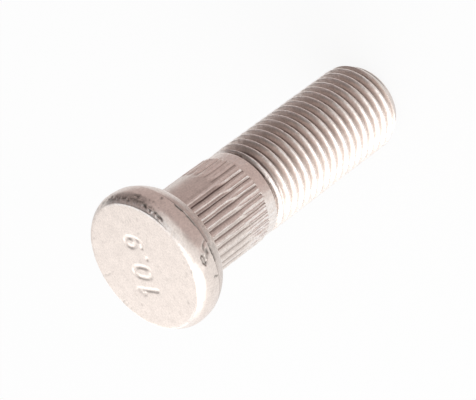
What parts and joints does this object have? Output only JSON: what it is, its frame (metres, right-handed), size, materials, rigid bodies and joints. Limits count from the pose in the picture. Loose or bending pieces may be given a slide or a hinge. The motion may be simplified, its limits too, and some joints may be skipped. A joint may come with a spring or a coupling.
{
  "type": "wheel stud",
  "caption": "Press-in wheel stud with a round flat-faced head, a splined shank that grips a hub, a plain neck and a fine right-hand thread for a wheel nut.",
  "frame": {"origin": "centre of the flat at the threaded end, which the stud stands on", "axes": "+Z along the stud's axis, from the threaded end up to the head"},
  "size_m": [0.0216, 0.0216, 0.05],
  "materials": {
    "plated_steel": "pale satin plating, slightly warm grey"
  },
  "bodies": {
    "root": {"wheel_stud": "plated_steel"}
  },
  "joints": []
}
